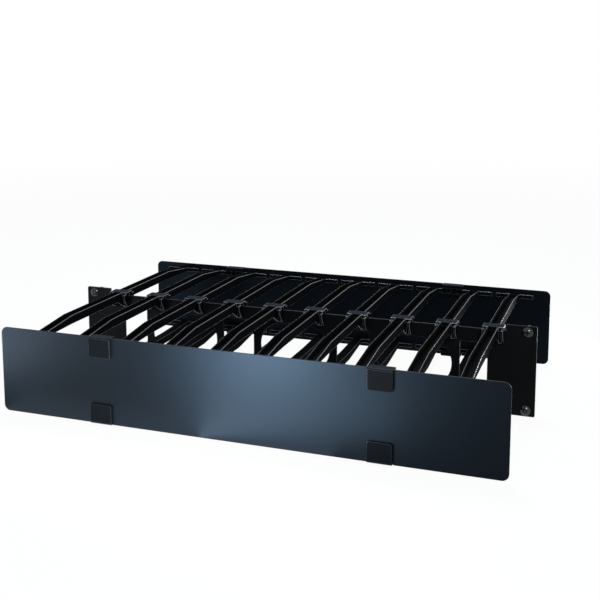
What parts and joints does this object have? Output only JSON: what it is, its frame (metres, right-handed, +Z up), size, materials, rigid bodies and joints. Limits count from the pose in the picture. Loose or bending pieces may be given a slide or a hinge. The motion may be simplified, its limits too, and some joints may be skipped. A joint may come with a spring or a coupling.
{
  "type": "horizontal cable manager",
  "caption": "Rack-mount horizontal cable manager with moulded T-ended fingers and a snap-hinged cover on both sides of a punched steel backplate.",
  "frame": {"origin": "centre of the backplate, which is the centre of the bounding box", "axes": "+X along the rack's width, +Y from the front cover to the rear cover, +Z up"},
  "size_m": [0.4826, 0.3204, 0.0882],
  "materials": {
    "backplate": "black powder coat",
    "screws": "glossy black",
    "fingers": "satin moulded",
    "clips": "matte moulded",
    "covers": "satin black"
  },
  "bodies": {
    "frame": {"backplate": "backplate", "rack_screws": "screws", "rear_upper_finger_01": "fingers", "rear_upper_finger_02": "fingers", "rear_upper_finger_03": "fingers", "rear_upper_finger_04": "fingers", "rear_upper_finger_05": "fingers", "rear_upper_finger_06": "fingers", "rear_upper_finger_07": "fingers", "rear_upper_finger_08": "fingers", "rear_upper_finger_09": "fingers", "rear_upper_finger_10": "fingers", "front_upper_finger_01": "fingers", "front_upper_finger_02": "fingers", "front_upper_finger_03": "fingers", "front_upper_finger_04": "fingers", "front_upper_finger_05": "fingers", "front_upper_finger_06": "fingers", "front_upper_finger_07": "fingers", "front_upper_finger_08": "fingers", "front_upper_finger_09": "fingers", "front_upper_finger_10": "fingers", "rear_lower_finger_01": "fingers", "rear_lower_finger_02": "fingers", "rear_lower_finger_03": "fingers", "rear_lower_finger_04": "fingers", "rear_lower_finger_05": "fingers", "rear_lower_finger_06": "fingers", "rear_lower_finger_07": "fingers", "rear_lower_finger_08": "fingers", "rear_lower_finger_09": "fingers", "rear_lower_finger_10": "fingers", "front_lower_finger_01": "fingers", "front_lower_finger_02": "fingers", "front_lower_finger_03": "fingers", "front_lower_finger_04": "fingers", "front_lower_finger_05": "fingers", "front_lower_finger_06": "fingers", "front_lower_finger_07": "fingers", "front_lower_finger_08": "fingers", "front_lower_finger_09": "fingers", "front_lower_finger_10": "fingers"},
    "front_cover_set": {"front_cover": "covers", "front_upper_clip_left": "clips", "front_upper_clip_right": "clips", "front_lower_clip_left": "clips", "front_lower_clip_right": "clips"},
    "rear_cover_set": {"rear_cover": "covers", "rear_upper_clip_left": "clips", "rear_upper_clip_right": "clips", "rear_lower_clip_left": "clips", "rear_lower_clip_right": "clips"}
  },
  "joints": [
    {"name": "front_cover_hinge", "type": "hinge", "parent": "frame", "child": "front_cover_set", "pos_m": [0, -0.152, 0.034], "axis": [-1, 0, 0], "range_deg": [0, 90]},
    {"name": "rear_cover_hinge", "type": "hinge", "parent": "frame", "child": "rear_cover_set", "pos_m": [0, 0.152, 0.034], "axis": [1, 0, 0], "range_deg": [0, 90]}
  ]
}
